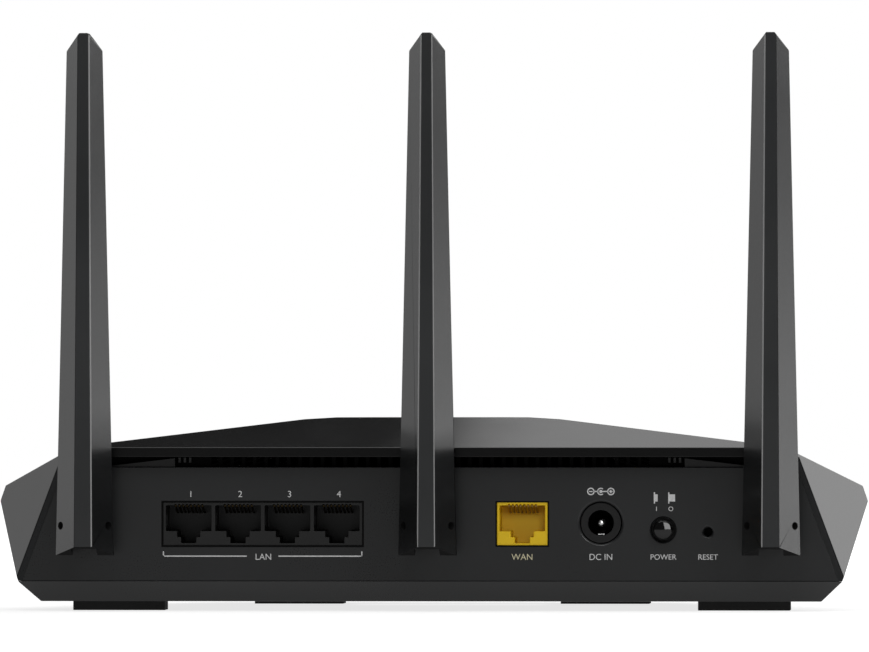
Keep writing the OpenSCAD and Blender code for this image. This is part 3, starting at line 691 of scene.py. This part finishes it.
ICON_Z = POWER.z + 8.4 * MM                # centre of the two button marks
for name, x, reach, word in (("pressed", POWER.x - 2.5 * MM, 0.7, "I"),
                             ("released", POWER.x + 1.3 * MM, 1.5, "O")):
    panel_print("print_" + name, [
        bar(x, ICON_Z - 1.5 * MM, x + 0.32 * MM, ICON_Z + 1.5 * MM),
        bar(x + 0.32 * MM, ICON_Z - 0.95 * MM, x + (0.32 + reach) * MM, ICON_Z + 0.95 * MM)],
        PRINT_WHITE)
    lettering("print_word_" + name, word, MARK, x + 0.7 * MM, ICON_Z - 2.95 * MM, PRINT_WHITE)

# ------------------------------------------------------------------ stage, light and camera
FOCAL_PX = 12598.8                         # the camera was fitted to the photo's outlines
IMAGE_W = 869
AIM = Vector((1.36 * MM, PANEL_Y, 75.36 * MM))
DISTANCE = 3.3333
AZIMUTH = math.radians(2.9)
ELEVATION = math.radians(-0.38)


def towards(azimuth, elevation):
    return Vector((math.sin(azimuth) * math.cos(elevation),
                   -math.cos(azimuth) * math.cos(elevation), math.sin(elevation)))


def add_camera():
    data = bpy.data.cameras.new("camera")
    data.sensor_width = 36.0
    data.lens = FOCAL_PX * data.sensor_width / IMAGE_W
    data.clip_end = 50.0
    camera = bpy.data.objects.new("camera", data)
    bpy.context.scene.collection.objects.link(camera)
    camera.location = AIM + DISTANCE * towards(AZIMUTH, ELEVATION)
    camera.rotation_euler = (AIM - camera.location).to_track_quat("-Z", "Y").to_euler()
    bpy.context.scene.camera = camera


def softbox(name, place, target, width, height, radiance, ramp=None):
    """A rectangular light. ramp is (axis, from, to, dim): along the box's own X (0) or Y (1)
    its brightness rises from dim to full between two fractions of its size."""
    data = bpy.data.lights.new(name, "AREA")
    data.shape = "RECTANGLE"
    data.size = width
    data.size_y = height
    data.energy = radiance * math.pi * width * height
    if ramp:
        axis, low, high, dim = ramp
        data.use_nodes = True
        tree = data.node_tree
        spot = tree.nodes.new("ShaderNodeNewGeometry").outputs["Parametric"]
        split = tree.nodes.new("ShaderNodeSeparateXYZ")
        tree.links.new(spot, split.inputs[0])
        fade = tree.nodes.new("ShaderNodeMapRange")
        tree.links.new(split.outputs[axis], fade.inputs["Value"])
        fade.inputs["From Min"].default_value = low
        fade.inputs["From Max"].default_value = high
        fade.inputs["To Min"].default_value = dim
        tree.links.new(fade.outputs[0], tree.nodes["Emission"].inputs["Strength"])
    lamp = bpy.data.objects.new(name, data)
    bpy.context.scene.collection.objects.link(lamp)
    lamp.location = place
    lamp.rotation_euler = (Vector(target) - Vector(place)).to_track_quat("-Z", "Y").to_euler()
    lamp.visible_camera = False
    return lamp


FLOOR_GLOW = 0.36                          # how much light the floor itself adds to the pieces
FLOOR_NEAR, FLOOR_FAR = 0.3, 0.9           # metres from the router where its shown tone changes
FLOOR_SHOWN = (0.76, 1.1)


def add_floor():
    """The floor glows brighter to the camera than to the pieces, and more so far away, so that
    it meets the white background without a line."""
    tools = bmesh.new()
    bmesh.ops.create_grid(tools, x_segments=1, y_segments=1, size=4.0)
    mesh = bpy.data.meshes.new("floor")
    tools.to_mesh(mesh)
    tools.free()
    t = Tree("floor")
    t.put(t.shader.inputs["Base Color"],
          t.mix_colour(t.ramp(t.noise(3.0), 0.3, 0.7), grey(0.36), grey(0.38)))
    t.shader.inputs["Roughness"].default_value = 0.8
    t.shader.inputs["Specular IOR Level"].default_value = 0.2
    t.shader.inputs["Emission Color"].default_value = grey(1.0)
    seen = t.add("ShaderNodeLightPath").outputs["Is Camera Ray"]
    reach = t.add("ShaderNodeVectorMath", {0: t.place}, operation="LENGTH").outputs["Value"]
    shown = t.ramp(reach, FLOOR_NEAR, FLOOR_FAR, *FLOOR_SHOWN)
    t.put(t.shader.inputs["Emission Strength"], t.ramp(seen, 0.0, 1.0, FLOOR_GLOW, shown))
    floor = link("floor", mesh, t.material)


def add_world():
    """White to the camera and a dim grey to the pieces."""
    world = bpy.data.worlds.new("studio")
    bpy.context.scene.world = world
    world.use_nodes = True
    tree = world.node_tree
    seen = tree.nodes.new("ShaderNodeLightPath").outputs["Is Camera Ray"]
    pick = tree.nodes.new("ShaderNodeMix")
    pick.data_type = "RGBA"
    tree.links.new(seen, pick.inputs[0])
    pick.inputs[6].default_value = grey(0.07)
    pick.inputs[7].default_value = grey(1.0)
    tree.links.new(pick.outputs[2], tree.nodes["Background"].inputs["Color"])


add_camera()
add_floor()
add_world()
REAR = Vector((0, PANEL_Y, 0.03))
softbox("key_right", (1.17, 0.45, 0.46), (0.108, -0.05, 0.025), 1.0, 0.42, 3.4)
softbox("key_left", (-0.94, 0.43, 0.35), (-0.11, -0.055, 0.022), 0.9, 0.28, 0.9)
horizon_right = softbox("horizon_right", (1.45, 0.45, 0.08), (0.09, -0.08, 0.09), 0.7, 0.5, 3.2,
                        ramp=(1, 0.75, 0.35, 0.15))
horizon_left = softbox("horizon_left", (-1.45, 0.55, 0.08), (-0.09, -0.08, 0.09), 0.7, 0.5, 1.0)
softbox("hump_right", (0.53, 0.82, 0.88), (0.03, -0.055, 0.047), 1.2, 1.2, 1.3)
rim = softbox("rim_right", (1.32, -1.17, 1.39), (0.04, PANEL_Y, 0.02), 0.8, 0.8, 7.0)
softbox("overhead", (0.0, -0.3, 2.2), (0, 0, 0), 2.6, 2.6, 1.6)
back_top = softbox("back_top", (-0.12, -1.7, 1.9), REAR, 0.22, 0.5, 16.0)
accent = softbox("front_accent", (0.25, -2.2, 0.55), REAR, 0.5, 0.5, 9.5)
glint = softbox("button_glint", (0.80, -2.0, 0.76), middle("power_button"), 1.45, 1.45, 5.6)


def light_only(lamp, pieces):
    """Limits a lamp to some pieces. No real studio light does this: it sets their tone alone."""
    group = bpy.data.collections.new(lamp.name + "_pieces")
    for piece in pieces:
        group.objects.link(piece)
    lamp.light_linking.receiver_collection = group


for lamp in (horizon_right, horizon_left):
    light_only(lamp, ANTENNA_SKINS)
for lamp in (rim, back_top):
    light_only(lamp, ANTENNA_SKINS + [CASE_SKIN])
light_only(accent, PRINTS + [WAN_SKIN, NODES["wan_contacts"]])
light_only(glint, [BUTTON, NODES["dc_jack_pin"], NODES["dc_jack_spring"]])
bpy.context.scene.view_settings.view_transform = "Standard"
